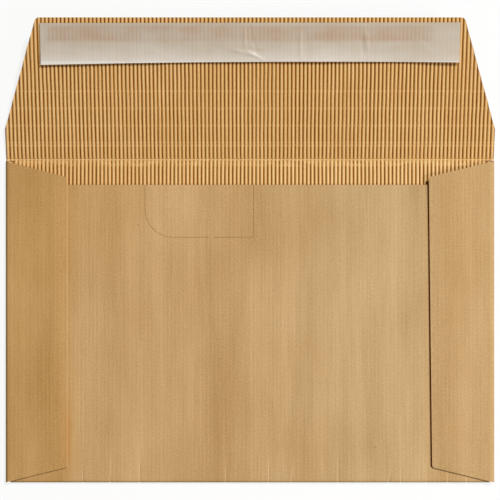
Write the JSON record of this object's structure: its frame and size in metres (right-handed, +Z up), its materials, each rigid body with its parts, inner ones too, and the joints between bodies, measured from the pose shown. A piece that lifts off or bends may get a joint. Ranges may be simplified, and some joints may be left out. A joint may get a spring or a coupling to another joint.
{
  "type": "padded envelope",
  "caption": "Flat kraft mailer of single-face corrugated paper, flutes inside, with an open self-seal flap and its release strip.",
  "frame": {"origin": "on the surface that the envelope lies on, under the middle of its whole outline", "axes": "+X across the envelope to the picture's right, +Y from the bottom fold to the open flap, +Z up, out of the back panel"},
  "size_m": [0.25, 0.2358, 0.0152],
  "materials": {
    "kraft_liner": "smooth matte brown kraft liner, faint flute lines and fibre",
    "fluted_medium": "matte golden brown corrugated medium",
    "seam_glue": "set hot-melt glue",
    "flap_adhesive": "tacky translucent adhesive",
    "release_paper": "thin translucent silicone paper, satin"
  },
  "bodies": {
    "root": {"kraft_liner": "kraft_liner", "fluted_lining": "fluted_medium", "left_seam_glue": "seam_glue", "right_seam_glue": "seam_glue", "flap_adhesive": "flap_adhesive", "release_strip": "release_paper"}
  },
  "joints": []
}
